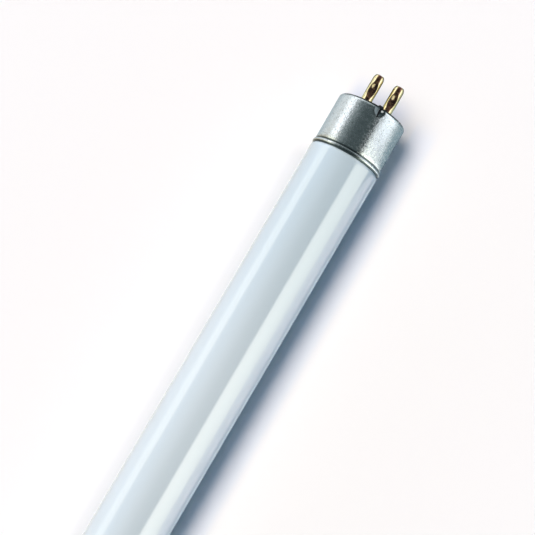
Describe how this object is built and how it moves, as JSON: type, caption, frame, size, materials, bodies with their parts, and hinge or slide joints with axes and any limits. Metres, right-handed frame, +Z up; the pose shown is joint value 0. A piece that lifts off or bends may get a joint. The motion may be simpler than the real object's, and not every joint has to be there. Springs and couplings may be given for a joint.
{
  "type": "fluorescent tube",
  "caption": "Miniature fluorescent tube: straight glass bulb, coated white inside, with a beaded metal cap and brass contact pins on each end.",
  "frame": {"origin": "middle of the tube, on its axis", "axes": "+X along the tube toward the cap that the picture shows, +Y along the line of each pair of pins, +Z up with the tube lying down"},
  "size_m": [0.3026, 0.0156, 0.0156],
  "materials": {
    "coated_glass": "gloss",
    "cap_aluminium": "satin",
    "plate_black": "satin",
    "pin_brass": "polished",
    "cement": "matte",
    "wire": "satin"
  },
  "bodies": {
    "root": {"glass_tube": "coated_glass", "right_cap_shell": "cap_aluminium", "left_cap_shell": "cap_aluminium", "right_insulating_plate": "plate_black", "left_insulating_plate": "plate_black", "right_contact_pin_front": "pin_brass", "right_contact_pin_back": "pin_brass", "left_contact_pin_front": "pin_brass", "left_contact_pin_back": "pin_brass", "right_cement_ring": "cement", "left_cement_ring": "cement", "right_lead_wire_front": "wire", "right_lead_wire_back": "wire", "left_lead_wire_front": "wire", "left_lead_wire_back": "wire"}
  },
  "joints": []
}
